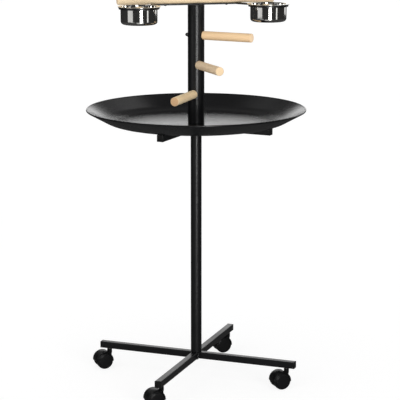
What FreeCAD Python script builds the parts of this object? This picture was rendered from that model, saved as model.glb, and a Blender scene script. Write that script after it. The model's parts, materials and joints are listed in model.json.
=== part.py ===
import FreeCAD
import Part

import math
import os

from FreeCAD import Vector

# Parrot play stand. Millimetres, +Z up, origin on the floor under the post's axis.
# +X runs along the long base tube, and +Y along the two stubs that are welded to it.

# Square tube of the base cross and of the tray support
TUBE = 20.0
TUBE_WALL = 1.5
TUBE_CORNER = 2.5
PLUG_HEAD = 3.5
PLUG_GRIP = 12.0
PLUG_SLACK = 0.2
WELD_LEG = 3.5

# Base cross and its bolt
BASE_HALF = 310.0
BASE_BOTTOM = 60.0
BASE_TOP = BASE_BOTTOM + TUBE
BOLT_HEAD_FLATS = 13.0
BOLT_HEAD_HEIGHT = 5.3
BOLT_RADIUS = 4.0
BOLT_HOLE = 4.5

# Casters: where the stems stand, and one caster with its stem on the Z axis
STEM_REACH = 283.0
CASTER_TURN = 221.3
CASTER_TRAIL = 20.4
WHEEL_RADIUS = 25.0
WHEEL_INNER = 7.2
WHEEL_OUTER = 22.5
HOOD_RADIUS = 27.5
HOOD_WALL = 1.5
HOOD_HALF_WIDTH = 19.5
HOOD_SKIRT = 22.6
WEB_HALF = 6.5
HUB_RADIUS = 9.0
BOSS_RADIUS = 7.5
BOSS_TOP = 57.5
SOCKET_FLOOR = 30.0
STEM_RADIUS = 4.0
STEM_TOP = 70.0
AXLE_RADIUS = 3.0
AXLE_HALF = 19.5
RUNNING_CLEARANCE = 0.06

# Lower post and the tray support above it
LOWER_POST_RADIUS = 16.0
POST_WALL = 1.5
SUPPORT_HALF = 237.0
SUPPORT_TOP = 771.0
SUPPORT_BOTTOM = SUPPORT_TOP - TUBE
SUPPORT_TURN = -4.6
POST_PLUG_DEPTH = 12.0

# Tray: flat floor, curved knuckle, sloping wall and rolled rim
TRAY_SHEET = 1.2
TRAY_RADIUS = 320.0
TRAY_RIM_TOP = 815.0
TRAY_FLOOR_RADIUS = 225.0
TRAY_KNUCKLE = 90.0
TRAY_SLOPE = 32.0
TRAY_BEAD = 2.6

# Upper post
UPPER_POST_RADIUS = 24.0
UPPER_POST_BOTTOM = SUPPORT_TOP + TRAY_SHEET
TOP_PLATE = 3.0
HOLDER_BOTTOM = 1113.5

# Bowl holder, bowls and top perch, all set at one angle to the base
TOP_TURN = 34.4
HOLDER_WIDTH = 20.0
HOLDER_THICK = 4.0
HOLDER_HALF = 132.0
HOLDER_CORNER = 4.0
HOLDER_TOP = HOLDER_BOTTOM + HOLDER_THICK
ARM_WIDTH = 16.0
ARM_START = 118.0
BOWL_SPREAD = 187.0
BOWL_FORWARD = 97.0
RING_INNER = 53.0
RING_OUTER = 57.0
RING_HEIGHT = 5.0
RING_TOP = HOLDER_TOP + 0.7
BOWL_GAP = 0.3
BOWL_RADIUS = 52.0
BOWL_FLANGE = 60.0
BOWL_FLANGE_HEIGHT = 2.4
BOWL_DEPTH = 50.5
BOWL_SHEET = 1.0
BOWL_CORNER = 10.0
PERCH_RADIUS = 17.5
PERCH_HALF = 230.0
PERCH_SEAT = 0.5
SEAT_MARGIN = 3.0
PERCH_AXIS = HOLDER_TOP + PERCH_RADIUS - PERCH_SEAT
PERCH_CHAMFER = 3.0

# Short perches: name, height above the floor and bearing from +X
SHORT_PERCHES = (("upper", 1026.5, -8.3), ("middle", 942.0, -47.9), ("lower", 857.3, -89.0))
SHORT_PERCH_RADIUS = 12.5
SHORT_PERCH_TIP = 180.0
STUD_RADIUS = 3.0
STUD_BITE = 45.0
DOWEL_BEVEL = 1.5
CAP_NUT_FLATS = 10.0
CAP_NUT_HEX = 6.0
CAP_NUT_DOME = 5.0

ARMS = (("right", 0.0), ("far", 90.0), ("left", 180.0), ("near", 270.0))


# ---------------------------------------------------------------- shape helpers

def cylinder(radius, bottom, top, x=0.0, y=0.0):
    """Upright cylinder between two heights."""
    return Part.makeCylinder(radius, top - bottom, Vector(x, y, bottom))


def turned(*points):
    """Solid of revolution about Z from a closed outline of (radius, height) points."""
    corners = [Vector(radius, 0, height) for radius, height in points + points[:1]]
    return Part.Face(Part.makePolygon(corners)).revolve(Vector(0, 0, 0), Vector(0, 0, 1), 360)


def spun(shape, degrees):
    """Copy of a shape turned about Z."""
    copy = shape.copy()
    copy.rotate(Vector(0, 0, 0), Vector(0, 0, 1), degrees)
    return copy


def laid(shape, degrees, height):
    """Copy of an upright shape laid so that its +Z points level, at a bearing and a height."""
    copy = shape.copy()
    copy.rotate(Vector(0, 0, 0), Vector(0, 1, 0), 90)
    copy.rotate(Vector(0, 0, 0), Vector(0, 0, 1), degrees)
    copy.translate(Vector(0, 0, height))
    return copy


def hexagon(across_flats, bottom, top):
    """Hexagonal prism on the Z axis with two of its flats facing along Y."""
    reach = across_flats / math.sqrt(3)
    corners = [Vector(reach * math.cos(math.radians(60 * i)), reach * math.sin(math.radians(60 * i)), bottom)
               for i in range(7)]
    return Part.Face(Part.makePolygon(corners)).extrude(Vector(0, 0, top - bottom))


def edges_along(shape, axis, length):
    """Edges of a given length that run along an axis."""
    return [e for e in shape.Edges
            if abs(e.Length - length) < 1e-6 and abs(abs(e.tangentAt(e.FirstParameter).dot(axis)) - 1) < 1e-6]


def rounded_bar(start, end, size, corner, bottom):
    """Square bar along X with rounded long edges."""
    bar = Part.makeBox(end - start, size, size, Vector(start, -size / 2, bottom))
    return bar.makeFillet(corner, edges_along(bar, Vector(1, 0, 0), end - start))


def round_off(centre, radius, start, end, chords):
    """Points that round a bend in an outline: the ends of equal chords between two angles from +X."""
    angles = [math.radians(start + (end - start) * i / chords) for i in range(chords + 1)]
    return [(centre[0] + radius * math.cos(a), centre[1] + radius * math.sin(a)) for a in angles]


# ---------------------------------------------------------------- crosses of square tube

def square_tube(start, end, bottom):
    """Length of square tube along X."""
    inside = TUBE - 2 * TUBE_WALL
    outer = rounded_bar(start, end, TUBE, TUBE_CORNER, bottom)
    bore = Part.makeBox(end - start, inside, inside, Vector(start, -inside / 2, bottom + TUBE_WALL))
    return outer.cut(bore)


def end_plug(tip, bottom):
    """Push-in plug whose chamfered head closes the tube that ends just short of x = tip."""
    face = tip - PLUG_HEAD
    head = Part.makeBox(PLUG_HEAD, TUBE, TUBE, Vector(face, -TUBE / 2, bottom))
    head = head.makeChamfer(0.6 * TUBE_CORNER, edges_along(head, Vector(1, 0, 0), PLUG_HEAD))
    head = head.makeChamfer(1.0, [e for e in head.Edges if all(abs(v.X - tip) < 1e-6 for v in e.Vertexes)])
    size = TUBE - 2 * TUBE_WALL - PLUG_SLACK
    corner = Vector(face - PLUG_GRIP, -size / 2, bottom + (TUBE - size) / 2)
    return head.fuse(Part.makeBox(PLUG_GRIP, size, size, corner)).removeSplitter()


def weld_beads(bottom):
    """Four upright beads in the corners where the stubs meet the long tube."""
    corner = TUBE / 2
    points = [Vector(corner + x, corner + y, 0) for x, y in ((0, 0), (WELD_LEG, 0), (0, WELD_LEG), (0, 0))]
    face = Part.Face(Part.makePolygon(points))
    bead = face.extrude(Vector(0, 0, TUBE - 2 * TUBE_CORNER))
    bead.translate(Vector(0, 0, bottom + TUBE_CORNER))
    return Part.makeCompound([spun(bead, 90 * i) for i in range(4)])


def cross(half_length, bottom):
    """Long tube, one stub along +X to be turned into place, weld beads and four end plugs."""
    reach = half_length - PLUG_HEAD
    long_tube = square_tube(-reach, reach, bottom)
    long_tube = long_tube.cut(cylinder(BOLT_HOLE, bottom - 1, bottom + TUBE + 1))
    stub = square_tube(TUBE / 2, reach, bottom)
    plugs = Part.makeCompound([spun(end_plug(half_length, bottom), bearing) for _, bearing in ARMS])
    return long_tube, stub, weld_beads(bottom), plugs


def base():
    """Floor cross with the holes of the caster stems and the bolt that holds the post."""
    long_tube, stub, beads, plugs = cross(BASE_HALF, BASE_BOTTOM)
    hole = cylinder(STEM_RADIUS, BASE_BOTTOM - 1, BASE_BOTTOM + TUBE_WALL + 1, STEM_REACH)
    long_tube = long_tube.cut(hole).cut(spun(hole, 180))
    stub = stub.cut(hole)
    head = hexagon(BOLT_HEAD_FLATS, BASE_BOTTOM - BOLT_HEAD_HEIGHT, BASE_BOTTOM)
    bolt = head.fuse(cylinder(BOLT_RADIUS, BASE_BOTTOM, BASE_TOP + POST_PLUG_DEPTH - 2)).removeSplitter()
    return {
        "base_long_tube": long_tube,
        "base_far_stub": spun(stub, 90),
        "base_near_stub": spun(stub, -90),
        "base_weld_beads": beads,
        "base_end_plugs": plugs,
        "post_foot_bolt": bolt,
    }


# ---------------------------------------------------------------- casters

def across(shape):
    """Shape made on the Z axis, laid along Y through the axle's centre."""
    copy = shape.copy()
    copy.rotate(Vector(0, 0, 0), Vector(1, 0, 0), -90)
    copy.translate(Vector(CASTER_TRAIL, 0, WHEEL_RADIUS))
    return copy


def caster_hood():
    """Moulded hood: a half-round shell over both wheels, the web between them and the stem boss."""
    inner = HOOD_RADIUS - HOOD_WALL
    shell = across(cylinder(HOOD_RADIUS, -HOOD_HALF_WIDTH, HOOD_HALF_WIDTH))
    below = Part.makeBox(80, 80, 40, Vector(CASTER_TRAIL - 40, -40, HOOD_SKIRT - 40))
    boss = cylinder(BOSS_RADIUS, SOCKET_FLOOR, BOSS_TOP)
    hood = shell.cut(below).fuse(boss)
    for side in (-1, 1):
        ends = sorted((side * WEB_HALF, side * (HOOD_HALF_WIDTH + 2)))
        hood = hood.cut(across(cylinder(inner, ends[0], ends[1])))
    hub = across(cylinder(HUB_RADIUS, -WEB_HALF, WEB_HALF))
    hood = hood.fuse(hub).cut(across(cylinder(AXLE_RADIUS, -WEB_HALF, WEB_HALF)))
    socket = cylinder(STEM_RADIUS + RUNNING_CLEARANCE, SOCKET_FLOOR, BOSS_TOP)
    return hood.cut(socket).removeSplitter()


def caster_wheel():
    """One of the twin wheels, on the +Y side, with the blind bore that snaps on the axle."""
    wheel = cylinder(WHEEL_RADIUS, WHEEL_INNER, WHEEL_OUTER)
    return across(wheel.cut(cylinder(AXLE_RADIUS + RUNNING_CLEARANCE, WHEEL_INNER, AXLE_HALF + 0.5)))


def casters():
    """Four twin-wheel casters; the stems stay with the base, the rest swivels and rolls."""
    hood = caster_hood()
    axle = across(cylinder(AXLE_RADIUS, -AXLE_HALF, AXLE_HALF))
    front = caster_wheel()
    rear = front.copy()
    rear.rotate(Vector(CASTER_TRAIL, 0, WHEEL_RADIUS), Vector(0, 0, 1), 180)
    stem = cylinder(STEM_RADIUS, SOCKET_FLOOR + 0.5, STEM_TOP, STEM_REACH)
    nodes = {"caster_stems": Part.makeCompound([spun(stem, bearing) for _, bearing in ARMS])}
    for name, bearing in ARMS:
        angle = math.radians(bearing)
        place = Vector(STEM_REACH * math.cos(angle), STEM_REACH * math.sin(angle), 0)
        pieces = {"hood": hood, "axle": axle, "wheel_front": front, "wheel_rear": rear}
        for piece, shape in pieces.items():
            copy = spun(shape, CASTER_TURN)
            copy.translate(place)
            nodes[name + "_caster_" + piece] = copy
    return nodes


# ---------------------------------------------------------------- posts and tray support

def lower_post():
    """Round post with a threaded plug in each end."""
    bore = LOWER_POST_RADIUS - POST_WALL
    tube = cylinder(LOWER_POST_RADIUS, BASE_TOP, SUPPORT_BOTTOM).cut(cylinder(bore, BASE_TOP, SUPPORT_BOTTOM))
    plug = cylinder(bore, BASE_TOP, BASE_TOP + POST_PLUG_DEPTH)
    plug = plug.cut(cylinder(BOLT_RADIUS, BASE_TOP, BASE_TOP + POST_PLUG_DEPTH))
    head_plug = plug.translated(Vector(0, 0, SUPPORT_BOTTOM - POST_PLUG_DEPTH - BASE_TOP))
    return {"lower_post": tube, "lower_post_plugs": Part.makeCompound([plug, head_plug])}


def tray_support():
    """Cross under the tray, turned a little from the base, and the stud that ties the posts."""
    long_tube, stub, beads, plugs = cross(SUPPORT_HALF, SUPPORT_BOTTOM)
    stud = cylinder(BOLT_RADIUS, SUPPORT_BOTTOM - POST_PLUG_DEPTH + 1, UPPER_POST_BOTTOM + 9)
    return {
        "support_long_tube": spun(long_tube, SUPPORT_TURN),
        "support_far_stub": spun(stub, SUPPORT_TURN + 90),
        "support_near_stub": spun(stub, SUPPORT_TURN - 90),
        "support_weld_beads": spun(beads, SUPPORT_TURN),
        "support_end_plugs": spun(plugs, SUPPORT_TURN),
        "tie_stud": stud,
    }


def tray():
    """Spun steel tray. The knuckle is tangent to the floor and to the sloping wall."""
    floor = SUPPORT_TOP
    centre = TRAY_FLOOR_RADIUS, floor + TRAY_KNUCKLE
    end = TRAY_SLOPE - 90
    under = round_off(centre, TRAY_KNUCKLE, -90, end, 2)
    over = round_off(centre, TRAY_KNUCKLE - TRAY_SHEET, end, -90, 2)
    bead_centre = TRAY_RADIUS - TRAY_BEAD, TRAY_RIM_TOP - TRAY_BEAD
    bead = round_off(bead_centre, TRAY_BEAD, -45, 135, 2)
    return {"tray": turned((BOLT_HOLE, floor), *under, *bead, *over, (BOLT_HOLE, floor + TRAY_SHEET))}


def upper_post():
    """Wide post with a welded top plate, a threaded foot plug and the cross holes of the short perches."""
    bore = UPPER_POST_RADIUS - POST_WALL
    tube = cylinder(UPPER_POST_RADIUS, UPPER_POST_BOTTOM, HOLDER_BOTTOM)
    tube = tube.cut(cylinder(bore, UPPER_POST_BOTTOM, HOLDER_BOTTOM - TOP_PLATE))
    for _, height, bearing in SHORT_PERCHES:
        tube = tube.cut(laid(cylinder(STUD_RADIUS, -30, 30), bearing, height))
    foot = cylinder(bore, UPPER_POST_BOTTOM, UPPER_POST_BOTTOM + POST_PLUG_DEPTH)
    foot = foot.cut(cylinder(BOLT_RADIUS, UPPER_POST_BOTTOM, UPPER_POST_BOTTOM + POST_PLUG_DEPTH))
    return {"upper_post": tube, "upper_post_foot": foot}


# ---------------------------------------------------------------- bowls and perches

def bowl_centre(side):
    """Centre of a bowl in the holder's own frame, where the strip runs along X."""
    return side * BOWL_SPREAD, -BOWL_FORWARD


def bowl_holder():
    """Flat strip under the perch with a slanting arm and a ring at each end."""
    strip = Part.makeBox(2 * HOLDER_HALF, HOLDER_WIDTH, HOLDER_THICK,
                         Vector(-HOLDER_HALF, -HOLDER_WIDTH / 2, HOLDER_BOTTOM))
    strip_space = strip.copy()
    strip = strip.makeChamfer(HOLDER_CORNER, edges_along(strip, Vector(0, 0, 1), HOLDER_THICK))
    rings, arms = [], []
    for side in (-1, 1):
        x, y = bowl_centre(side)
        ring = cylinder(RING_OUTER, RING_TOP - RING_HEIGHT, RING_TOP, x, y)
        ring = ring.cut(cylinder(RING_INNER, RING_TOP - RING_HEIGHT, RING_TOP, x, y))
        run = math.hypot(x - side * ARM_START, y)
        arm = Part.makeBox(run, ARM_WIDTH, HOLDER_THICK, Vector(0, -ARM_WIDTH / 2, HOLDER_BOTTOM))
        arm = spun(arm, math.degrees(math.atan2(y, x - side * ARM_START)))
        arm.translate(Vector(side * ARM_START, 0, 0))
        arm = arm.cut(strip_space).cut(cylinder(RING_OUTER, HOLDER_BOTTOM - 5, HOLDER_TOP + 5, x, y))
        arm = max(arm.Solids, key=lambda solid: -solid.CenterOfMass.y)
        arms.append(arm)
        rings.append(ring)
    return {"bowl_holder_strip": strip, "bowl_holder_arms": Part.makeCompound(arms),
            "bowl_rings": Part.makeCompound(rings)}


def bowl():
    """Pressed steel bowl on the Z axis: rounded corner, straight side and a flat flange."""
    top = RING_TOP + BOWL_GAP + BOWL_FLANGE_HEIGHT
    bottom = top - BOWL_DEPTH
    corner = BOWL_RADIUS - BOWL_CORNER, bottom + BOWL_CORNER
    return turned(
        (0, bottom), *round_off(corner, BOWL_CORNER, -90, 0, 2), (BOWL_RADIUS, RING_TOP + BOWL_GAP),
        (BOWL_FLANGE, RING_TOP + BOWL_GAP), (BOWL_FLANGE, top), (BOWL_RADIUS - BOWL_SHEET, top),
        *round_off(corner, BOWL_CORNER - BOWL_SHEET, 0, -90, 2), (0, bottom + BOWL_SHEET))


def top_perch():
    """Thick round perch with bevelled ends and a seat milled for the strip."""
    end = Vector(-PERCH_HALF, 0, PERCH_AXIS)
    perch = Part.makeCylinder(PERCH_RADIUS, 2 * PERCH_HALF, end, Vector(1, 0, 0))
    rims = [e for e in perch.Edges if abs(e.Length - 2 * math.pi * PERCH_RADIUS) < 1e-3]
    perch = perch.makeChamfer(PERCH_CHAMFER, rims)
    half = HOLDER_HALF + SEAT_MARGIN
    corner = Vector(-half, -PERCH_RADIUS, HOLDER_TOP - PERCH_RADIUS)
    seat = Part.makeBox(2 * half, 2 * PERCH_RADIUS, PERCH_RADIUS, corner)
    return {"top_perch": perch.cut(seat)}


def short_perches():
    """Three dowels clamped to the upper post by studs that pass through it to cap nuts."""
    face = UPPER_POST_RADIUS
    stud_end = face + STUD_BITE
    dowel = turned((STUD_RADIUS, face), (SHORT_PERCH_RADIUS, face),
                   (SHORT_PERCH_RADIUS, SHORT_PERCH_TIP - DOWEL_BEVEL),
                   (SHORT_PERCH_RADIUS - DOWEL_BEVEL, SHORT_PERCH_TIP), (0, SHORT_PERCH_TIP), (0, stud_end),
                   (STUD_RADIUS, stud_end))
    stud = cylinder(STUD_RADIUS, -face, stud_end)
    hex_end = -face - CAP_NUT_HEX
    dome = turned((0, hex_end - CAP_NUT_DOME), (0.3 * CAP_NUT_FLATS, hex_end - CAP_NUT_DOME),
                  (0.45 * CAP_NUT_FLATS, hex_end), (0, hex_end))
    nut = hexagon(CAP_NUT_FLATS, hex_end, -face).fuse(dome).removeSplitter()
    nodes = {name + "_short_perch": laid(dowel, bearing, height) for name, height, bearing in SHORT_PERCHES}
    for node, shape in (("perch_studs", stud), ("cap_nuts", nut)):
        nodes[node] = Part.makeCompound([laid(shape, bearing, height) for _, height, bearing in SHORT_PERCHES])
    return nodes


def top_assembly():
    """Holder, perch and bowls, turned together to their bearing."""
    nodes = {**bowl_holder(), **top_perch()}
    for name, side in (("left", -1), ("right", 1)):
        x, y = bowl_centre(side)
        nodes[name + "_bowl"] = bowl().translated(Vector(x, y, 0))
    return {name: spun(shape, TOP_TURN) for name, shape in nodes.items()}


def main():
    """Builds every sub-assembly and writes one STEP file per node."""
    os.makedirs("parts", exist_ok=True)
    sub_assemblies = (base, casters, lower_post, tray_support, tray, upper_post, short_perches, top_assembly)
    nodes = {}
    for sub_assembly in sub_assemblies:
        nodes.update(sub_assembly())
    for name, shape in nodes.items():
        shape.exportStep("parts/" + name + ".step")


main()
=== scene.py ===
import json
import logging
import math
from dataclasses import dataclass, field
from enum import Enum

import bmesh
import bpy
from mathutils import Matrix, Vector


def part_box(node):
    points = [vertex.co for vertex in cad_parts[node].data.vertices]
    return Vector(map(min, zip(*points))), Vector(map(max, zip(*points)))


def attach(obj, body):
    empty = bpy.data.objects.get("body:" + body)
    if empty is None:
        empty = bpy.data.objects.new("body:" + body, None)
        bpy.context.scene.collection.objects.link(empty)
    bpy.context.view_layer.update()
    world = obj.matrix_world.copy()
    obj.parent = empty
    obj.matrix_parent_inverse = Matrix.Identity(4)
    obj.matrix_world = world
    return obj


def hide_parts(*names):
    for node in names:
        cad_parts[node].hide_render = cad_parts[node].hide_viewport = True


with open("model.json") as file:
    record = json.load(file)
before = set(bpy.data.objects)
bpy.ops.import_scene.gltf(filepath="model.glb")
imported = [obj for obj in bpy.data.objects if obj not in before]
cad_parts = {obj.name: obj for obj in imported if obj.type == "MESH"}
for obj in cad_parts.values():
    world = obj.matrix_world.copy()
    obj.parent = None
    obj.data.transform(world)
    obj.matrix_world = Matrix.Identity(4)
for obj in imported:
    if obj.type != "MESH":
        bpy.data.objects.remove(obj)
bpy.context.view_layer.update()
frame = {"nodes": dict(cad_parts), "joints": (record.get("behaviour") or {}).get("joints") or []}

MM = 0.001
STAND = "stand"
TOP_TURN = 34.4  # bearing of the top perch and the bowl holder from +X, in degrees

log = logging.getLogger("play_stand")

Point = tuple[float, float]
Colour = tuple[float, float, float]


# ---------------------------------------------------------------- shapes

def bend(centre: Point, radius: float, start: float, end: float, steps: int = 6) -> list[Point]:
    """Rounds a stretch of a turned outline.

    Args:
        centre: Centre of the bend, as radius from the axis and height.
        radius: Radius of the bend.
        start: Angle of the first point from the outward direction, in degrees.
        end: Angle of the last point, in degrees.
        steps: Number of chords.

    Returns:
        The points of the bend, both ends included.
    """
    angles = [math.radians(start + (end - start) * i / steps) for i in range(steps + 1)]
    return [(centre[0] + radius * math.cos(a), centre[1] + radius * math.sin(a)) for a in angles]


def crown(radius: float, foot: float, rise: float, start: int = 0, step: int = 15) -> list[Point]:
    """Rounds a dome from its foot towards the axis, without the point on the axis.

    Args:
        radius: Radius of the dome's foot.
        foot: Height of the foot.
        rise: Height of the dome over its foot, negative where it points down.
        start: Angle of the first point above the foot, in degrees.
        step: Angle between two points, in degrees.

    Returns:
        The points of the dome.
    """
    angles = [math.radians(a) for a in range(start, 90, step)]
    return [(radius * math.cos(a), foot + rise * math.sin(a)) for a in angles]


def skin(shape: bmesh.types.BMesh, rows: list[list[bmesh.types.BMVert]]) -> None:
    """Covers closed rows of vertices one after the other and closes both ends.

    Args:
        shape: The shape that holds the vertices.
        rows: Rows of equal length, each running round the same outline.
    """
    for first, second in zip(rows, rows[1:]):
        for k in range(len(first)):
            m = (k + 1) % len(first)
            shape.faces.new((first[k], first[m], second[m], second[k]))
    shape.faces.new(rows[0])
    shape.faces.new(rows[-1])


def finish_mesh(name: str, shape: bmesh.types.BMesh, sharp: float = 32.0) -> bpy.types.Object:
    """Makes an object of a built shape, smooth but for its sharp edges.

    Args:
        name: Name of the new object.
        shape: The built shape, which is freed.
        sharp: Angle between faces, in degrees, over which an edge stays sharp.

    Returns:
        The object, linked to the scene.
    """
    bmesh.ops.recalc_face_normals(shape, faces=shape.faces)
    mesh = bpy.data.meshes.new(name)
    shape.to_mesh(mesh)
    shape.free()
    mesh.shade_smooth()
    mesh.set_sharp_from_angle(angle=math.radians(sharp))
    made = bpy.data.objects.new(name, mesh)
    bpy.context.scene.collection.objects.link(made)
    return made


def lathe(name: str, outline: list[Point], segments: int = 96, closed: bool = False,
          sharp: float = 32.0) -> bpy.types.Object:
    """Turns an outline about its own Z axis.

    Args:
        name: Name of the new object.
        outline: Radii and heights in millimetres. A point of radius 0 lies on the axis.
        segments: Number of steps round the axis.
        closed: Whether the last point joins the first, as in a ring or a shell.
        sharp: Angle, in degrees, over which an edge stays sharp.

    Returns:
        The turned object, in metres.
    """
    shape = bmesh.new()
    rings = []
    for radius, height in outline:
        if radius < 1e-6:
            rings.append([shape.verts.new((0, 0, height * MM))])
            continue
        angles = [2 * math.pi * i / segments for i in range(segments)]
        rings.append([shape.verts.new((radius * MM * math.cos(a), radius * MM * math.sin(a), height * MM))
                      for a in angles])
    pairs = list(zip(rings, rings[1:])) + ([(rings[-1], rings[0])] if closed else [])
    for low, high in pairs:
        if len(low) + len(high) == 2:
            continue
        for i in range(segments):
            j = (i + 1) % segments
            corners = [low[i % len(low)], low[j % len(low)], high[j % len(high)], high[i % len(high)]]
            shape.faces.new(list(dict.fromkeys(corners)))
    return finish_mesh(name, shape, sharp)


def arch(name: str, outline: list[Point], start: float, end: float, steps: int = 44) -> bpy.types.Object:
    """Sweeps a closed outline part of the way round its own Y axis.

    Args:
        name: Name of the new object.
        outline: Radii and offsets along Y, in millimetres.
        start: Angle of the first section from local +X towards +Z, in degrees.
        end: Angle of the last section, in degrees.
        steps: Number of steps between them.

    Returns:
        The arch with closed ends, in metres.
    """
    shape = bmesh.new()
    rows = []
    for i in range(steps + 1):
        angle = math.radians(start + (end - start) * i / steps)
        rows.append([
            shape.verts.new((radius * MM * math.cos(angle), offset * MM, radius * MM * math.sin(angle)))
            for radius, offset in outline
        ])
    skin(shape, rows)
    return finish_mesh(name, shape)


def soft_box(name: str, size: Vector, radius: float, steps: int = 4) -> bpy.types.Object:
    """Box on its own origin with rounded edges.

    Args:
        name: Name of the new object.
        size: Full size in millimetres.
        radius: Radius of the edges in millimetres.
        steps: Number of chords in each edge.

    Returns:
        The box, in metres.
    """
    shape = bmesh.new()
    bmesh.ops.create_cube(shape, size=1.0)
    bmesh.ops.scale(shape, vec=size * MM, verts=shape.verts)
    bmesh.ops.bevel(shape, geom=shape.edges[:], offset=radius * MM, segments=steps, profile=0.5,
                    affect="EDGES", clamp_overlap=True)
    return finish_mesh(name, shape, 50.0)


def prism(name: str, across_flats: float, bottom: float, top: float, edge: float = 0.5) -> bpy.types.Object:
    """Hexagonal prism on its own Z axis with eased edges.

    Args:
        name: Name of the new object.
        across_flats: Distance between opposite flats, in millimetres.
        bottom: Height of the lower face, in millimetres.
        top: Height of the upper face, in millimetres.
        edge: Width of the eased edges, in millimetres.

    Returns:
        The prism, in metres.
    """
    shape = bmesh.new()
    corner = across_flats / math.sqrt(3) * MM
    bmesh.ops.create_cone(shape, cap_ends=True, segments=6, radius1=corner, radius2=corner,
                          depth=(top - bottom) * MM)
    bmesh.ops.translate(shape, vec=(0, 0, (top + bottom) / 2 * MM), verts=shape.verts)
    bmesh.ops.bevel(shape, geom=shape.edges[:], offset=edge * MM, segments=2, profile=0.5, affect="EDGES")
    return finish_mesh(name, shape, 40.0)


def put(piece: bpy.types.Object, place: Matrix) -> bpy.types.Object:
    """Places a piece and returns it."""
    piece.matrix_world = place
    return piece


def merge(name: str, pieces: list[bpy.types.Object]) -> bpy.types.Object:
    """Joins placed pieces into one object that sits at the origin.

    Args:
        name: Name of the joined object.
        pieces: The pieces, which are used up.

    Returns:
        The joined object.
    """
    for piece in pieces:
        piece.data.transform(piece.matrix_basis)
        piece.matrix_basis = Matrix.Identity(4)
    first = pieces[0]
    with bpy.context.temp_override(active_object=first, object=first, selected_objects=pieces,
                                   selected_editable_objects=pieces):
        bpy.ops.object.join()
    first.name = name
    first.data.name = name
    return first


def axis_frame(origin: Vector, direction: Vector) -> Matrix:
    """Placement whose local Z runs along a direction.

    Args:
        origin: Where the local origin goes, in metres.
        direction: Where local +Z points.

    Returns:
        The placement.
    """
    return Matrix.Translation(origin) @ direction.to_track_quat("Z", "Y").to_matrix().to_4x4()


def middle(node: str) -> Vector:
    """Centre of a node's box."""
    low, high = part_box(node)
    return (low + high) / 2


def joint_place(body: str) -> Vector:
    """Where the joint that moves a body lies, in metres."""
    return Vector(next(joint["pos_m"] for joint in frame["joints"] if joint["child"] == body))


# ---------------------------------------------------------------- finishes

class Grain(Enum):
    """How the fine texture of a coating or a moulding lies."""

    PEEL = "peel"
    SPARK = "spark"


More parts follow.
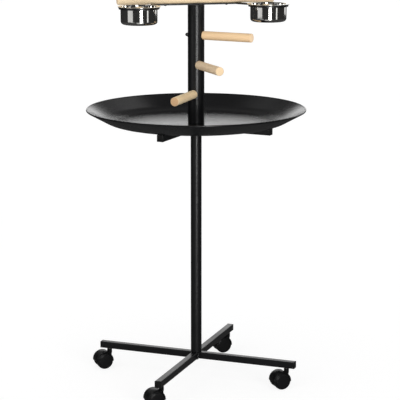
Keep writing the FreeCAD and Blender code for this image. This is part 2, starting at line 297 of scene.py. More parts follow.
class Shader:
    """A material's node tree, with short calls for what the finishes share."""

    def __init__(self, name: str) -> None:
        """Starts a material.

        Args:
            name: Name of the material.
        """
        self.material = bpy.data.materials.new(name)
        self.material.use_nodes = True
        self.tree = self.material.node_tree
        self.surface = self.tree.nodes["Principled BSDF"]

    def node(self, kind: str, **settings: object) -> bpy.types.Node:
        """Adds a node.

        Args:
            kind: Blender's name of the node type.
            **settings: Attributes to set on the node.

        Returns:
            The node.
        """
        made = self.tree.nodes.new(kind)
        for name, value in settings.items():
            setattr(made, name, value)
        return made

    def feed(self, target: bpy.types.NodeSocket, source: object) -> None:
        """Links a socket to an input, or sets the input's plain value.

        Args:
            target: The input.
            source: A socket, or a plain value.
        """
        if isinstance(source, bpy.types.NodeSocket):
            self.tree.links.new(source, target)
        else:
            target.default_value = source

    def place(self, scale: tuple[float, float, float] = (1, 1, 1),
              shift: tuple[float, float, float] = (0, 0, 0),
              turn: tuple[float, float, float] = (0, 0, 0)) -> bpy.types.NodeSocket:
        """Gives the piece's own coordinates, scaled and moved.

        Args:
            scale: Scale along each axis.
            shift: Move, in scaled units.
            turn: Turn about each axis, in radians.

        Returns:
            The coordinates.
        """
        here = self.node("ShaderNodeTexCoord")
        mapping = self.node("ShaderNodeMapping")
        self.feed(mapping.inputs["Vector"], here.outputs["Object"])
        self.feed(mapping.inputs["Scale"], scale)
        self.feed(mapping.inputs["Location"], shift)
        self.feed(mapping.inputs["Rotation"], turn)
        return mapping.outputs["Vector"]

    def noise(self, where: bpy.types.NodeSocket, scale: float, detail: float = 3.0, rough: float = 0.55,
              swirl: float = 0.0) -> bpy.types.NodeSocket:
        """Soft random pattern from 0 to 1.

        Args:
            where: Coordinates.
            scale: Cells per metre.
            detail: Number of finer layers.
            rough: Weight of the finer layers.
            swirl: Distortion of the pattern.

        Returns:
            The pattern's value.
        """
        made = self.node("ShaderNodeTexNoise")
        for name, value in (("Vector", where), ("Scale", scale), ("Detail", detail), ("Roughness", rough),
                            ("Distortion", swirl)):
            self.feed(made.inputs[name], value)
        return made.outputs["Fac"]

    def cells(self, where: bpy.types.NodeSocket, scale: float) -> bpy.types.NodeSocket:
        """Distance to the nearest of many random points, for specks and pits.

        Args:
            where: Coordinates.
            scale: Cells per metre.

        Returns:
            The distance, in cells.
        """
        made = self.node("ShaderNodeTexVoronoi")
        self.feed(made.inputs["Vector"], where)
        self.feed(made.inputs["Scale"], scale)
        return made.outputs["Distance"]

    def span(self, value: bpy.types.NodeSocket, low: float, high: float, to_low: float = 0.0,
             to_high: float = 1.0) -> bpy.types.NodeSocket:
        """Maps a range of a value to another range.

        Args:
            value: The value.
            low: Start of its range.
            high: End of its range.
            to_low: What the start becomes.
            to_high: What the end becomes.

        Returns:
            The mapped value, held inside the new range.
        """
        made = self.node("ShaderNodeMapRange")
        for name, number in (("Value", value), ("From Min", low), ("From Max", high), ("To Min", to_low),
                             ("To Max", to_high)):
            self.feed(made.inputs[name], number)
        return made.outputs["Result"]

    def between(self, share: bpy.types.NodeSocket, first: object, second: object) -> bpy.types.NodeSocket:
        """Blends two colours by a share of the second.

        Args:
            share: Share of the second colour, from 0 to 1.
            first: First colour, as numbers or a socket.
            second: Second colour, as numbers or a socket.

        Returns:
            The blended colour.
        """
        made = self.node("ShaderNodeMix", data_type="RGBA")
        self.feed(made.inputs[0], share)
        for slot, colour in ((made.inputs[6], first), (made.inputs[7], second)):
            self.feed(slot, colour if isinstance(colour, bpy.types.NodeSocket) else (*colour, 1.0))
        return made.outputs[2]

    def sum(self, first: object, second: object, kind: str = "ADD") -> bpy.types.NodeSocket:
        """Combines two values.

        Args:
            first: First value, as a number or a socket.
            second: Second value, as a number or a socket.
            kind: Blender's name of the operation.

        Returns:
            The result.
        """
        made = self.node("ShaderNodeMath", operation=kind)
        self.feed(made.inputs[0], first)
        self.feed(made.inputs[1], second)
        return made.outputs[0]

    def relief(self, height: bpy.types.NodeSocket, depth: float, edge: float = 0.0) -> None:
        """Raises the surface by a pattern and eases its edges.

        Args:
            height: Pattern from 0 to 1.
            depth: Height of the pattern, in millimetres.
            edge: Radius of the eased edges, in millimetres.
        """
        bump = self.node("ShaderNodeBump")
        self.feed(bump.inputs["Height"], height)
        self.feed(bump.inputs["Distance"], depth * MM)
        if edge:
            eased = self.node("ShaderNodeBevel", samples=4)
            self.feed(eased.inputs["Radius"], edge * MM)
            self.feed(bump.inputs["Normal"], eased.outputs["Normal"])
        self.feed(self.surface.inputs["Normal"], bump.outputs["Normal"])

    def shine(self, level: float) -> None:
        """Sets how strongly a surface that isn't metal reflects; 0.5 is the usual level."""
        self.feed(self.surface.inputs["Specular IOR Level"], level)

    def set(self, **values: object) -> None:
        """Sets the shader's sockets by name, with _ for a space."""
        for name, value in values.items():
            self.feed(self.surface.inputs[name.replace("_", " ").title()], value)


@dataclass(frozen=True)
class Coating:
    """Baked or moulded dark surface with a fine relief and faint dust."""

    name: str
    colour: Colour
    dust: Colour
    rough: Point = (0.34, 0.46)
    cell: float = 1.6
    depth: float = 0.05
    edge: float = 0.5
    grain: Grain = Grain.PEEL
    shine: float = 0.5

    def make(self) -> bpy.types.Material:
        """Builds the material.

        Returns:
            The material.
        """
        shader = Shader(self.name)
        here = shader.place()
        cloud = shader.noise(here, 9.0, 4.0)
        fine = shader.noise(here, 1000.0 / self.cell, 2.0)
        if self.grain is Grain.SPARK:
            pits = shader.span(shader.cells(here, 1000.0 / (1.4 * self.cell)), 0.1, 0.6)
            fine = shader.sum(fine, pits, "MULTIPLY")
        share = shader.sum(shader.span(cloud, 0.35, 0.75), shader.span(fine, 0.3, 0.8), "MULTIPLY")
        shader.set(base_color=shader.between(share, self.colour, self.dust),
                   roughness=shader.span(cloud, 0.3, 0.7, *self.rough))
        shader.shine(self.shine)
        shader.relief(fine, self.depth, self.edge)
        return shader.material


@dataclass(frozen=True)
class BareSteel:
    """Steel with its turning or polishing lines."""

    name: str
    colour: Colour
    rough: Point
    lines_per_mm: float = 6.0
    depth: float = 0.004

    def make(self) -> bpy.types.Material:
        """Builds the material, with lines that run round the piece's own Z axis.

        Returns:
            The material.
        """
        shader = Shader(self.name)
        parts = shader.node("ShaderNodeSeparateXYZ")
        shader.feed(parts.inputs[0], shader.place())
        radius = shader.sum(shader.sum(parts.outputs["X"], 2.0, "POWER"),
                            shader.sum(parts.outputs["Y"], 2.0, "POWER"))
        track = shader.node("ShaderNodeCombineXYZ")
        shader.feed(track.inputs["X"], shader.sum(radius, 0.5, "POWER"))
        shader.feed(track.inputs["Y"], parts.outputs["Z"])
        lines = shader.noise(track.outputs[0], 1000.0 * self.lines_per_mm, 2.0)
        haze = shader.noise(shader.place(), 40.0, 5.0)
        dull = tuple(0.8 * channel for channel in self.colour)
        shader.set(base_color=shader.between(shader.span(haze, 0.35, 0.75), self.colour, dull), metallic=1.0,
                   roughness=shader.span(shader.sum(lines, haze, "MULTIPLY"), 0.1, 0.5, *self.rough))
        shader.relief(lines, self.depth)
        return shader.material


@dataclass(frozen=True)
class SandedWood:
    """Unsealed turned wood. The grain runs along the piece's own Z, and the rings show on its ends."""

    name: str
    early: Colour
    late: Colour
    stain: Colour
    end: Colour
    ring: float = 2.4
    pith: Point = (9.0, 5.0)
    stained: float = 0.3

    def make(self) -> bpy.types.Material:
        """Builds the material.

        Returns:
            The material.
        """
        shader = Shader(self.name)
        along = shader.place(scale=(1, 1, 0.05), shift=(self.pith[0] * MM, self.pith[1] * MM, 0),
                             turn=(0.004, 0.006, 0))
        rings = shader.node("ShaderNodeTexWave", wave_type="RINGS", rings_direction="Z")
        for name, value in (("Vector", along), ("Scale", 1000.0 / self.ring / 3.2), ("Distortion", 3.0),
                            ("Detail", 3.0), ("Detail Scale", 1.4)):
            shader.feed(rings.inputs[name], value)
        ring = shader.span(rings.outputs["Fac"], 0.35, 1.0, 0.0, 0.8)
        fibre = shader.noise(shader.place(scale=(1, 1, 0.03)), 1500.0, 3.0, 0.7)
        ray = shader.noise(shader.place(scale=(1, 1, 0.08)), 420.0, 3.0)
        mottle = shader.noise(shader.place(scale=(1, 1, 0.35)), 55.0, 4.0, 0.6, 0.6)
        wood = shader.between(ring, self.early, self.late)
        wood = shader.between(shader.span(fibre, 0.45, 0.8, 0.0, 0.45), wood, self.late)
        wood = shader.between(shader.span(mottle, 0.5, 0.8, 0.0, self.stained), wood, self.stain)
        cut = shader.between(shader.sum(ring, 0.5, "MULTIPLY"), self.end, self.late)
        wood = shader.between(self.facing_end(shader), wood, cut)
        shader.set(base_color=wood, roughness=shader.span(ray, 0.2, 0.8, 0.52, 0.72))
        shader.shine(0.3)
        shader.relief(shader.sum(fibre, ray), 0.05)
        return shader.material

    def facing_end(self, shader: Shader) -> bpy.types.NodeSocket:
        """Finds the cut ends, which face along the piece's own Z.

        Args:
            shader: The material's shader.

        Returns:
            Share of end grain, from 0 to 1.
        """
        parts = shader.node("ShaderNodeSeparateXYZ")
        shader.feed(parts.inputs[0], shader.node("ShaderNodeTexCoord").outputs["Normal"])
        return shader.span(shader.sum(parts.outputs["Z"], 0.0, "ABSOLUTE"), 0.75, 0.97)


@dataclass(frozen=True)
class Finishes:
    """Every finish of the stand, made once."""

    coat: bpy.types.Material
    tray_coat: bpy.types.Material
    nylon: bpy.types.Material
    wheel: bpy.types.Material
    plug: bpy.types.Material
    zinc: bpy.types.Material
    nut: bpy.types.Material
    bowl: bpy.types.Material
    dowels: dict[str, bpy.types.Material]
    perch: bpy.types.Material


def make_finishes() -> Finishes:
    """Builds the materials of all finishes.

    Returns:
        The finishes by name.
    """
    black, dusty = (0.0042, 0.0044, 0.0050), (0.010, 0.0105, 0.012)
    honey, knot = (0.74, 0.52, 0.30), (0.46, 0.31, 0.18)
    return Finishes(
        coat=Coating("black_powder_coat", black, dusty, (0.27, 0.36), 2.6, 0.09, 0.5, Grain.SPARK).make(),
        tray_coat=Coating("tray_powder_coat", black, dusty, (0.2, 0.28), 2.4, 0.06, 0.5, Grain.SPARK).make(),
        nylon=Coating("caster_nylon", (0.0035, 0.0035, 0.004), (0.008, 0.008, 0.008), (0.30, 0.40), 0.8,
                      0.03, shine=0.25).make(),
        wheel=Coating("wheel_nylon", (0.004, 0.004, 0.0045), (0.010, 0.010, 0.010), (0.28, 0.38), 0.8,
                      0.03, shine=0.3).make(),
        plug=Coating("plug_plastic", (0.004, 0.004, 0.004), (0.008, 0.008, 0.008), (0.4, 0.5), 0.7, 0.02,
                     shine=0.3).make(),
        zinc=BareSteel("zinc_steel", (0.62, 0.62, 0.60), (0.28, 0.42)).make(),
        nut=BareSteel("blackened_steel", (0.05, 0.05, 0.052), (0.22, 0.36)).make(),
        bowl=BareSteel("polished_bowl", (0.86, 0.85, 0.82), (0.05, 0.10), 4.0, 0.001).make(),
        dowels={
            "upper": SandedWood("upper_dowel", (0.93, 0.66, 0.39), (0.84, 0.57, 0.32), honey,
                                (0.93, 0.71, 0.48), 3.1, (12, 7), 0.2).make(),
            "middle": SandedWood("middle_dowel", (0.96, 0.75, 0.51), (0.72, 0.52, 0.32), knot,
                                 (0.92, 0.70, 0.44), 1.9, (7, -9), 0.6).make(),
            "lower": SandedWood("lower_dowel", (0.98, 0.79, 0.50), (0.86, 0.63, 0.36), honey,
                                (0.62, 0.37, 0.19), 2.2, (1.5, 1.0), 0.5).make(),
        },
        perch=SandedWood("top_perch_wood", (0.96, 0.78, 0.53), (0.88, 0.67, 0.42), honey, (0.88, 0.68, 0.45),
                         3.4, (14, -10), 0.15).make(),
    )


def dress(node: str, material: bpy.types.Material) -> None:
    """Gives a node that stays in view its finish.

    Args:
        node: The node.
        material: Its material.
    """
    slots = frame["nodes"][node].data.materials
    slots.clear()
    slots.append(material)


def install(piece: bpy.types.Object, body: str, slot: str, material: bpy.types.Material,
           *nodes: str) -> bpy.types.Object:
    """Finishes a new piece: its material, its body and the nodes that it stands for.

    Args:
        piece: The piece, in place.
        body: Body that it rides on.
        slot: Name of a record slot; not used.
        material: Its material.
        *nodes: Nodes that it replaces.

    Returns:
        The piece.
    """
    piece.data.materials.clear()
    piece.data.materials.append(material)
    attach(piece, body)
    if nodes:
        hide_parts(*nodes)
    log.info("%s: %d faces on %s", piece.name, len(piece.data.polygons), body)
    return piece


# ---------------------------------------------------------------- sub-assemblies

@dataclass
class SquareCross:
    """Cross of square tube: weld beads in its corners and a plug in each end. Sizes in millimetres."""

    name: str
    long_tube: str
    stubs: tuple[str, str]
    beads: str
    plugs: str
    tube: float = 20.0
    plug_head: float = 3.5
    plug_edge: float = 1.2
    plug_crown: float = 0.5
    leg: float = 3.5
    bead_steps: int = 28

    def build(self, finishes: Finishes) -> None:
        """Dresses the tubes and makes the plugs and beads.

        Args:
            finishes: The stand's finishes.
        """
        for node in (self.long_tube, *self.stubs):
            dress(node, finishes.coat)
        self.make_plugs(finishes.plug)
        self.make_beads(finishes.coat)

    def bearing(self) -> float:
        """Measures how the long tube lies.

        Returns:
            Angle of the long tube from +X, in radians.
        """
        corners = [v.co for v in frame["nodes"][self.long_tube].data.vertices]
        tip = [v for v in corners if v.x > max(c.x for c in corners) - 2 * self.tube * MM]
        centre = sum(tip, Vector()) / len(tip)
        return math.atan2(centre.y, centre.x)

    def make_plugs(self, material: bpy.types.Material) -> None:
        """Makes the four crowned plug heads.

        Args:
            material: The plugs' material.
        """
        low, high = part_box(self.plugs)
        reach = max(v.co.xy.length for v in frame["nodes"][self.plugs].data.vertices)
        half_tube = self.tube / 2 * MM
        tip = math.sqrt(reach * reach - (0.75 * half_tube) ** 2)
        heads = []
        for i in range(4):
            angle = self.bearing() + i * math.pi / 2
            out = Vector((math.cos(angle), math.sin(angle), 0))
            head = soft_box("head", Vector((self.tube, self.tube, self.plug_head)), self.plug_edge)
            for vertex in head.data.vertices:
                if vertex.co.z > 0:
                    fall = max(abs(vertex.co.x), abs(vertex.co.y)) / half_tube
                    vertex.co.z -= self.plug_crown * MM * fall ** 3
            centre = out * (tip - self.plug_head / 2 * MM) + Vector((0, 0, (low.z + high.z) / 2))
            flat = Matrix((Vector((0, 0, 1)).cross(out), Vector((0, 0, 1)), out)).transposed().to_4x4()
            heads.append(put(head, Matrix.Translation(centre) @ flat))
        install(merge(self.name + "_plug_heads", heads), STAND, "black_plastic_plug", material, self.plugs)

    def bead_outline(self, step: int) -> list[Point]:
        """Outline of a weld bead at one of its sections, which swell and shrink in ripples of four.

        Args:
            step: Number of the section from the bead's foot.

        Returns:
            Points from the corner of the tubes, in millimetres.
        """
        leg = self.leg * (0.86 + 0.12 * abs(math.sin(math.pi * step / 4)))
        face = []
        for s in (1, 2, 3):
            bulge = 0.12 * leg * math.sin(math.pi * s / 4)
            face.append((leg * (1 - s / 4) + bulge, leg * s / 4 + bulge))
        return [(0.0, 0.0), (leg, 0.0), *face, (0.0, leg)]

    def make_beads(self, material: bpy.types.Material) -> None:
        """Makes the rippled weld beads where the stubs meet the long tube.

        Args:
            material: The beads' material.
        """
        low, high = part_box(self.beads)
        height = high.z - low.z
        corner = self.tube / 2
        beads = []
        for i in range(4):
            shape = bmesh.new()
            rows = []
            for step in range(self.bead_steps + 1):
                z = low.z + height * step / self.bead_steps
                rows.append([shape.verts.new(((corner + x) * MM, (corner + y) * MM, z))
                             for x, y in self.bead_outline(step)])
            skin(shape, rows)
            turn = Matrix.Rotation(self.bearing() + i * math.pi / 2, 4, "Z")
            beads.append(put(finish_mesh("bead", shape), turn))
        install(merge(self.name + "_welds", beads), STAND, "black_powder_coat", material, self.beads)


@dataclass
class Caster:
    """Twin-wheel caster: a moulded hood and two crowned wheels on its axle. Sizes in millimetres."""

    name: str
    radius: float = 25.0
    inner: float = 7.2
    outer: float = 22.5
    bore: float = 3.06
    bore_end: float = 20.0
    shoulder: float = 3.2
    cover: float = 19.5
    cover_rise: float = 1.2
    hood_inner: float = 26.0
    hood_outer: float = 27.5
    hood_half: float = 19.5
    web_half: float = 6.5
    skirt: float = 5.0
    hub: float = 9.0
    boss: float = 7.5
    boss_top: float = 57.5
    boss_edge: float = 0.6
    neck_foot: float = 43.0
    neck_full: float = 46.0
    socket: float = 4.06
    socket_floor: float = 30.0

    def wheel_outline(self) -> list[Point]:
        """Outline of a wheel: bore, inner face, tread, shoulder, groove and domed cover.

        Returns:
            Radii, and distances from the caster's middle plane, in millimetres.
        """
        face = self.outer - self.cover_rise
        tread = [(self.radius - 0.25, self.inner + 1.6), (self.radius, (self.inner + self.outer) / 2 - 2)]
        shoulder = bend((self.radius - self.shoulder, self.outer - 4.1), self.shoulder, 0, 80, 6)
        groove = [(self.cover + 1.1, face), (self.cover + 0.9, face - 0.7), (self.cover + 0.2, face - 0.7),
                  (self.cover, face - 0.1)]
        dome = crown(self.cover, face, self.cover_rise, 12, 13)
        return [(0.0, self.bore_end), (self.bore, self.bore_end), (self.bore, self.inner),
                (self.radius - 1.8, self.inner), *tread, *shoulder, *groove, *dome, (0.0, self.outer)]

    def make_hood(self, axle: Vector, material: bpy.types.Material) -> None:
        """Makes the hood: a shell over both wheels, the web between them and the neck round the stem.

        Args:
            axle: Middle of the axle, in metres.
            material: The hood's material.
        """
        swivel = joint_place(self.name + "_caster")
        stem = Vector((swivel.x, swivel.y, 0.0))
        trail = Vector((axle.x - stem.x, axle.y - stem.y, 0.0)).normalized()
        upward = Vector((0, 0, 1))
        turn = Matrix((trail, upward.cross(trail), upward)).transposed().to_4x4()
        place = Matrix.Translation(axle) @ turn
        half, outer, web_half = self.hood_half, self.hood_outer, self.web_half
        side = [(outer, half - 1.0), (outer - 0.3, half - 0.3), (outer - 1.0, half), (self.hood_inner, half)]
        shell = [(radius, -offset) for radius, offset in reversed(side)] + side
        edge = self.hood_inner + 0.3
        web = [(self.bore, -web_half), (edge, -web_half), (edge, web_half), (self.bore, web_half)]
        hub = [(self.bore, -web_half), (self.hub, -web_half), (self.hub, web_half), (self.bore, web_half)]
        slim, lip = web_half - 0.1, self.boss_edge
        neck = [(self.socket, self.socket_floor), (slim, self.socket_floor), (slim, self.neck_foot),
                (self.boss, self.neck_full), (self.boss, self.boss_top - lip),
                (self.boss - lip, self.boss_top), (self.socket, self.boss_top)]
        pieces = [put(arch("shell", shell, -self.skirt, 180 + self.skirt), place),
                  put(arch("web", web, -self.skirt, 180 + self.skirt), place),
                  put(lathe("hub", hub, 48, closed=True), place @ Matrix.Rotation(math.pi / 2, 4, "X")),
                  put(lathe("neck", neck, 48, closed=True), Matrix.Translation(stem))]
        install(merge(self.name + "_hood", pieces), self.name + "_caster", "caster_nylon", material,
               self.name + "_caster_hood")

    def build(self, finishes: Finishes) -> None:
        """Makes the hood, and both wheels where their joints are, and dresses the axle.

        Args:
            finishes: The stand's finishes.
        """
        dress(self.name + "_caster_axle", finishes.zinc)
        for side in ("front", "rear"):
            node = f"{self.name}_caster_wheel_{side}"
            centre = joint_place(node)
            outward = (middle(node) - centre).normalized()
            wheel = lathe(f"{self.name}_wheel_{side}", self.wheel_outline(), 72)
            put(wheel, axis_frame(centre, outward))
            install(wheel, node, "wheel_nylon", finishes.wheel, node)
        self.make_hood(centre, finishes.nylon)


@dataclass
class Posts:
    """Lower and upper post with smooth walls. Sizes in millimetres."""

    wall: float = 1.5
    edge: float = 0.4
    plate: float = 3.0

    def tube(self, node: str, name: str, closed_top: bool) -> bpy.types.Object:
        """Turns a tube with the outer size of a node.

        Args:
            node: Node that gives the radius and both heights.
            name: Name of the new piece.
            closed_top: Whether a plate closes the upper end.

        Returns:
            The tube.
        """
        low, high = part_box(node)
        radius, bottom, top = (high.x - low.x) / 2 / MM, low.z / MM, high.z / MM
        inside, eased, under = radius - self.wall, radius - self.edge, top - self.plate
        outline = [(inside, bottom), (eased, bottom), (radius, bottom + self.edge), (radius, top - self.edge),
                   (eased, top)]
        outline += [(0.0, top), (0.0, under), (inside, under)] if closed_top else [(inside, top)]
        return lathe(name, outline, 128, closed=True)

    def build(self, finishes: Finishes) -> None:
        """Makes both posts and dresses what ties them to the crosses.

        Args:
            finishes: The stand's finishes.
        """
        install(self.tube("lower_post", "lower_post_tube", False), STAND, "black_powder_coat", finishes.coat,
               "lower_post")
        install(self.tube("upper_post", "upper_post_tube", True), STAND, "black_powder_coat", finishes.coat,
               "upper_post")
        for node in ("lower_post_plugs", "upper_post_foot", "post_foot_bolt", "tie_stud", "caster_stems"):
            dress(node, finishes.zinc)


@dataclass
class Tray:
    """Spun tray with a curved knuckle and a rolled rim. Sizes in millimetres."""

    sheet: float = 1.2
    floor_radius: float = 225.0
    knuckle: float = 90.0
    slope: float = 32.0
    bead: float = 2.6
    bead_turn: float = 230.0
    hole: float = 4.5
    mid_floor: float = 120.0

    def build(self, finishes: Finishes) -> None:
        """Turns the tray inside the box of its node.

        Args:
            finishes: The stand's finishes.
        """
        low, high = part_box("tray")
        floor, top, radius = low.z / MM, high.z / MM, (high.x - low.x) / 2 / MM
        centre = self.floor_radius, floor + self.knuckle
        end = self.slope - 90
        rim = radius - self.bead, top - self.bead
        outline = [(self.hole, floor), (self.mid_floor, floor),
                   *bend(centre, self.knuckle, -90, end, 14),
                   *bend(rim, self.bead, end, end + self.bead_turn, 14),
                   *bend(centre, self.knuckle - self.sheet, end, -90, 14),
                   (self.mid_floor, floor + self.sheet), (self.hole, floor + self.sheet)]
        tray = lathe("tray_dish", outline, 256, closed=True, sharp=40.0)
        install(tray, STAND, "black_powder_coat", finishes.tray_coat, "tray")


@dataclass
class ShortPerches:
    """Three turned dowels with their nuts and washers. Sizes in millimetres."""

    radius: float = 12.5
    start: float = 24.0
    tip: float = 180.0
    foot_ease: float = 0.5
    ease: float = 1.6
    bearings: dict[str, float] = field(
        default_factory=lambda: {"upper": -8.3, "middle": -47.9, "lower": -89.0})
    flats: float = 10.0
    hex_height: float = 5.4
    dome_height: float = 5.6
    washer: float = 1.4
    washer_hole: float = 3.0
    washer_radius: float = 8.0

    def placement(self, name: str) -> Matrix:
        """Finds where a perch goes, with its local Z running out along it from the post's axis.

        Args:
            name: Which of the perches.

        Returns:
            The placement.
        """
        angle = math.radians(self.bearings[name])
        height = middle(name + "_short_perch").z
        return axis_frame(Vector((0, 0, height)), Vector((math.cos(angle), math.sin(angle), 0)))

    def build(self, finishes: Finishes) -> None:
        """Makes the dowels, the cap nuts and their washers.

        Args:
            finishes: The stand's finishes.
        """
        nuts, washers = [], []
        for name in self.bearings:
            place = self.placement(name)
            outline = [(0.0, self.start), (self.radius - self.foot_ease, self.start),
                       (self.radius, self.start + self.foot_ease), (self.radius, 60.0), (self.radius, 120.0),
                       *bend((self.radius - self.ease, self.tip - self.ease), self.ease, 0, 90, 5),
                       (0.0, self.tip)]
            dowel = put(lathe(name + "_dowel", outline, 64), place)
            install(dowel, STAND, "turned_dowel", finishes.dowels[name], name + "_short_perch")
            nuts += self.nut(place)
            back, wall = -self.start - self.washer, -self.start
            ring = [(self.washer_hole, back), (self.washer_radius - 0.5, back),
                    (self.washer_radius, back + 0.5), (self.washer_radius, wall), (self.washer_hole, wall)]
            washers.append(put(lathe("washer", ring, 48, closed=True), place))
        install(merge("perch_cap_nuts", nuts), STAND, "black_nut", finishes.nut, "cap_nuts")
        install(merge("perch_washers", washers), STAND, "zinc_steel", finishes.zinc)
        dress("perch_studs", finishes.zinc)

    def nut(self, place: Matrix) -> list[bpy.types.Object]:
        """Makes a cap nut behind the post.

        Args:
            place: Placement of its perch.

        Returns:
            The hexagon and the dome.
        """
        end = -self.start - self.hex_height
        body = prism("hexagon", self.flats, end, -self.start - self.washer)
        half = 0.52 * self.flats
        outline = [(0.0, end + 0.6), (half - 0.4, end + 0.6), *crown(half, end, -self.dome_height),
                   (0.0, end - self.dome_height)]
        return [put(body, place), put(lathe("dome", outline, 36), place)]


@dataclass
class BowlHolder:
    """Strip, arms and rings of the holder with its screw heads. Sizes in millimetres."""

    screw_reach: float = 90.0
    head: float = 4.0
    head_height: float = 2.4
    slot_half: float = 1.2

    def build(self, finishes: Finishes) -> None:
        """Dresses the strip, arms and rings and makes the screw heads under the strip.

        Args:
            finishes: The stand's finishes.
        """
        for node in ("bowl_holder_strip", "bowl_holder_arms", "bowl_rings"):
            dress(node, finishes.coat)
        low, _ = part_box("bowl_holder_strip")
        angle = math.radians(TOP_TURN)
        outline = [(0.0, 0.0), *crown(self.head, 0.0, -self.head_height), (self.slot_half, -self.head_height),
                   (self.slot_half, self.slot_half - self.head_height),
                   (0.0, self.slot_half - self.head_height)]
        heads = []
        for side in (-1, 1):
            reach = side * self.screw_reach * MM
            spot = Vector((reach * math.cos(angle), reach * math.sin(angle), low.z))
            heads.append(put(lathe("head", outline, 36), Matrix.Translation(spot)))
        install(merge("holder_screw_heads", heads), STAND, "zinc_steel", finishes.nut)


@dataclass
class Bowl:
    """Pressed steel bowl with a rolled rim. Sizes in millimetres."""

    name: str
    radius: float = 52.0
    sheet: float = 1.0
    corner: float = 10.0
    roll: float = 1.3
    flare: float = 1.5
    mouth: float = 2.2

    def build(self, finishes: Finishes) -> None:
        """Turns the bowl inside the box of its node.

        Args:
            finishes: The stand's finishes.
        """
        low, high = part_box(self.name)
        centre = (low + high) / 2
        flange, top = (high.x - low.x) / 2 / MM, (high.z - low.z) / MM
        middle_of_bend = self.radius - self.corner, self.corner
        rim = flange - self.roll, top - self.roll
        under = self.radius + self.flare, top - 4.0
        inside = self.radius + self.mouth - self.sheet, top - self.mouth
        outline = [(0.0, 0.0), *bend(middle_of_bend, self.corner, -90, 0, 10),
                   (self.radius, top - 6.5), *bend(under, self.flare, 180, 90, 5),
                   (rim[0] - self.roll, rim[1] - 0.6), *bend(rim, self.roll, -120, 90, 12),
                   *bend(inside, self.mouth, 90, 180),
                   *bend(middle_of_bend, self.corner - self.sheet, 0, -90, 10), (0.0, self.sheet)]
        bowl = lathe(self.name + "_shell", outline, 160, sharp=50.0)
        put(bowl, Matrix.Translation((centre.x, centre.y, low.z)))
        install(bowl, self.name, "polished_bowl", finishes.bowl, self.name)


@dataclass
class TopPerch:
    """Thick perch with eased ends and a flat for the strip. Sizes in millimetres."""

    radius: float = 17.5
    half: float = 230.0
    ease: float = 3.0
    seat: float = 0.5
    seat_half: float = 135.0

    def build(self, finishes: Finishes) -> None:
        """Turns the perch, lays it level and flattens its seat.

        Args:
            finishes: The stand's finishes.
        """
        _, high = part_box("top_perch")
        angle = math.radians(TOP_TURN)
        seat_ends = self.seat_half - 1.0, self.seat_half + 1.0
        end = bend((self.radius - self.ease, self.half - self.ease), self.ease, 0, 90, 6)
        outline = [(0.0, -self.half), *[(r, -z) for r, z in reversed(end)]]
        rows = (-seat_ends[1], -seat_ends[0], -60.0, 0.0, 60.0, *seat_ends)
        outline += [(self.radius, z) for z in rows]
        outline += [*end, (0.0, self.half)]
        perch = lathe("top_perch_rod", outline, 96)
        along = Vector((math.cos(angle), math.sin(angle), 0))
        place = axis_frame(Vector((0, 0, high.z - self.radius * MM)), along)
        floor = high.z - (2 * self.radius - self.seat) * MM
        back = place.inverted()
        for vertex in perch.data.vertices:
            world = place @ vertex.co
            if world.z < floor and abs(vertex.co.z) < self.seat_half * MM:
                world.z = floor
                vertex.co = back @ world
        install(put(perch, place), STAND, "pale_perch", finishes.perch, "top_perch")


# ---------------------------------------------------------------- studio

@dataclass(frozen=True)
class Lamp:
    """Distant soft lamp. Angles in degrees, the side counted to the right of the camera's side."""

    name: str
    side: float
    height: float
    softness: float
    strength: float

    def hang(self, facing: float) -> None:
        """Adds the lamp to the scene.

        Args:
            facing: Bearing of the camera's side from +X, in degrees.
        """
        data = bpy.data.lights.new(self.name, "SUN")
        data.angle = math.radians(self.softness)
        data.energy = self.strength
        lamp = bpy.data.objects.new(self.name, data)
        angle, rise = math.radians(facing + self.side), math.radians(self.height)
        beam = Vector((-math.cos(angle) * math.cos(rise), -math.sin(angle) * math.cos(rise), -math.sin(rise)))
        lamp.rotation_euler = beam.to_track_quat("-Z", "Y").to_euler()
        lamp.visible_glossy = False
        bpy.context.scene.collection.objects.link(lamp)


@dataclass(frozen=True)
class Card:
    """Curved card round the stand that only reflections see.

    The sector is in degrees to the right of the camera's side. Each edge is a distance from the post's axis
    and a height above the floor, in metres.
    """

    name: str
    sector: Point
    first_edge: Point
    second_edge: Point
    light: float

    def hang(self, facing: float) -> None:
        """Adds the card to the scene.

        Args:
            facing: Bearing of the camera's side from +X, in degrees.
        """
        start, end = self.sector
        steps = max(2, round((end - start) / 5))
        shape = bmesh.new()
        rows = []
        for i in range(steps + 1):
            angle = math.radians(facing + start + (end - start) * i / steps)
            rows.append([shape.verts.new((reach * math.cos(angle), reach * math.sin(angle), height))
                         for reach, height in (self.first_edge, self.second_edge)])
        for first, second in zip(rows, rows[1:]):
            shape.faces.new((first[0], second[0], second[1], first[1]))
        card = finish_mesh(self.name, shape)
        shader = Shader(self.name)
        glow = shader.node("ShaderNodeEmission")
        shader.feed(glow.inputs["Strength"], self.light)
        shader.feed(shader.tree.nodes["Material Output"].inputs["Surface"], glow.outputs[0])
        card.data.materials.append(shader.material)
        card.visible_camera = False
        card.visible_diffuse = False
        card.visible_shadow = False


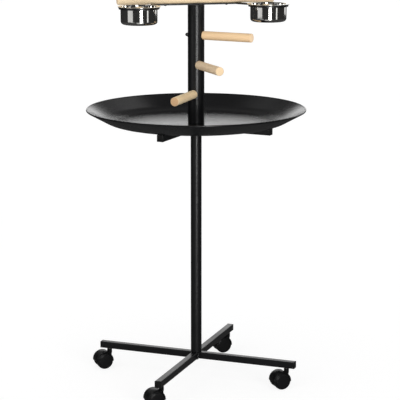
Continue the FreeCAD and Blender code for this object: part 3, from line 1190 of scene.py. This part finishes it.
@dataclass
class Studio:
    """Camera, lamps, reflected cards, pale floor and white surroundings."""

    focal_pixels: float = 1606.5
    frame_pixels: float = 400.0
    eye: tuple[float, float, float] = (1.6208, -4.3236, 1.5097)
    bearing: float = 20.41
    tilt: float = 11.84
    floor_half: float = 60.0
    floor_glow: float = 0.71
    floor_shown: float = 0.14
    fill_light: float = 0.4
    room: float = 3.7
    screen: float = 3.6

    def build(self) -> None:
        """Sets up the whole studio."""
        self.add_camera()
        self.add_floor()
        self.add_surroundings()
        for item in (*self.lamps(), *self.cards()):
            item.hang(self.bearing - 90)
        bpy.context.scene.view_settings.view_transform = "Standard"

    def add_camera(self) -> None:
        """Adds the camera where the photograph was taken from."""
        data = bpy.data.cameras.new("view")
        data.sensor_width = 36.0
        data.lens = data.sensor_width * self.focal_pixels / self.frame_pixels
        data.clip_end = 200.0
        camera = bpy.data.objects.new("view", data)
        camera.location = self.eye
        camera.rotation_euler = (math.radians(90 - self.tilt), 0, math.radians(self.bearing))
        bpy.context.scene.collection.objects.link(camera)
        bpy.context.scene.camera = camera

    def lamps(self) -> list[Lamp]:
        """Lists the lamps: a key to the camera's right, a fill to its left and one overhead.

        Returns:
            The lamps.
        """
        return [
            Lamp("key", 28.0, 11.0, 30.0, 1.7),
            Lamp("fill", -45.0, 0.0, 70.0, 1.4),
            Lamp("overhead", -30.0, 74.0, 60.0, 0.35),
        ]

    def cards(self) -> list[Card]:
        """Lists the cards: the dark room, the bright screens in it and the shaded floor.

        Returns:
            The cards.
        """
        room, screen, ground = self.room, self.screen, 0.0004
        return [
            Card("room_wall", (-162.0, 160.0), (room, 0.0), (room, 3.6), 0.03),
            Card("room_ceiling", (-180.0, 180.0), (room, 3.6), (0.01, 3.6), 0.12),
            Card("back_wall", (150.0, 210.0), (5.1, 2.5), (room, 3.6), 0.12),
            Card("backdrop", (160.0, 198.0), (5.0, 1.4), (5.0, 2.5), 1.7),
            Card("low_backdrop", (160.0, 198.0), (5.0, 0.9), (5.0, 1.4), 1.15),
            Card("wide_screen", (-70.0, -38.0), (screen, 0.5), (screen, 1.9), 0.7),
            Card("low_screen", (-50.0, -28.0), (screen, 0.0), (screen, 0.45), 0.5),
            Card("key_screen", (6.0, 19.0), (screen, 0.0), (screen, 1.7), 12.0),
            Card("thin_screen", (49.0, 57.0), (screen, 0.2), (screen, 1.7), 1.1),
            Card("side_screen", (116.0, 136.0), (screen, 0.7), (screen, 1.2), 0.8),
            Card("right_back", (124.0, 160.0), (screen, 1.25), (screen, 2.1), 0.7),
            Card("left_back", (200.0, 232.0), (screen, 1.25), (screen, 2.1), 0.3),
            Card("high_right", (118.0, 160.0), (screen, 2.1), (2.0, 3.55), 0.8),
            Card("high_left", (200.0, 242.0), (screen, 2.1), (2.0, 3.55), 0.35),
            Card("shade", (-180.0, 180.0), (0.01, ground), (0.8, ground), 0.09),
            Card("half_shade", (-18.0, 26.0), (0.8, ground), (1.5, ground), 0.40),
            Card("front_floor", (-18.0, 26.0), (1.5, ground), (room, ground), 0.55),
            Card("dark_floor", (26.0, 342.0), (0.8, ground), (6.0, ground), 0.06),
        ]

    def add_floor(self) -> None:
        """Adds the pale floor, which shows white but for the stand's faint shadow."""
        shape = bmesh.new()
        bmesh.ops.create_grid(shape, x_segments=8, y_segments=8, size=self.floor_half)
        floor = finish_mesh("studio_floor", shape)
        floor.location.z = -0.0005
        shader = Shader("studio_floor")
        speckle = shader.noise(shader.place(), 60.0)
        shader.set(base_color=shader.between(speckle, (0.26, 0.26, 0.26), (0.28, 0.28, 0.28)), roughness=0.9)
        shader.shine(0.0)
        path = shader.node("ShaderNodeLightPath")
        seen = shader.sum(path.outputs["Is Camera Ray"], path.outputs["Is Glossy Ray"])
        seen = shader.sum(seen, path.outputs["Is Transmission Ray"])
        shown = shader.node("ShaderNodeEmission")
        level = shader.sum(shader.sum(seen, self.floor_shown, "MULTIPLY"), self.floor_glow)
        shader.feed(shown.inputs["Strength"], level)
        both = shader.node("ShaderNodeAddShader")
        shader.feed(both.inputs[0], shader.surface.outputs[0])
        shader.feed(both.inputs[1], shown.outputs[0])
        shader.feed(shader.tree.nodes["Material Output"].inputs["Surface"], both.outputs[0])
        floor.data.materials.append(shader.material)

    def add_surroundings(self) -> None:
        """Adds the world: pale to the camera and in reflections, and a dim fill light."""
        world = bpy.data.worlds.new("surroundings")
        bpy.context.scene.world = world
        world.use_nodes = True
        tree = world.node_tree
        tree.nodes.clear()
        output = tree.nodes.new("ShaderNodeOutputWorld")
        path = tree.nodes.new("ShaderNodeLightPath")
        level = path.outputs["Is Camera Ray"]
        for source in (path.outputs["Is Glossy Ray"], path.outputs["Is Transmission Ray"],
                       self.fill_light):
            add = tree.nodes.new("ShaderNodeMath")
            add.operation = "MAXIMUM"
            tree.links.new(level, add.inputs[0])
            if isinstance(source, bpy.types.NodeSocket):
                tree.links.new(source, add.inputs[1])
            else:
                add.inputs[1].default_value = source
            level = add.outputs[0]
        backdrop = tree.nodes.new("ShaderNodeBackground")
        tree.links.new(level, backdrop.inputs["Strength"])
        tree.links.new(backdrop.outputs[0], output.inputs["Surface"])


def main() -> None:
    """Builds the stand's sub-assemblies in order, then the studio."""
    logging.basicConfig(level=logging.INFO, format="%(message)s")
    finishes = make_finishes()
    assemblies = [
        SquareCross("base", "base_long_tube", ("base_far_stub", "base_near_stub"), "base_weld_beads",
                    "base_end_plugs"),
        SquareCross("support", "support_long_tube", ("support_far_stub", "support_near_stub"),
                    "support_weld_beads", "support_end_plugs"),
        *[Caster(name) for name in ("right", "far", "left", "near")],
        Posts(),
        Tray(),
        ShortPerches(),
        BowlHolder(),
        Bowl("left_bowl"),
        Bowl("right_bowl"),
        TopPerch(),
    ]
    for assembly in assemblies:
        assembly.build(finishes)
    Studio().build()


if __name__ == "__main__":
    main()
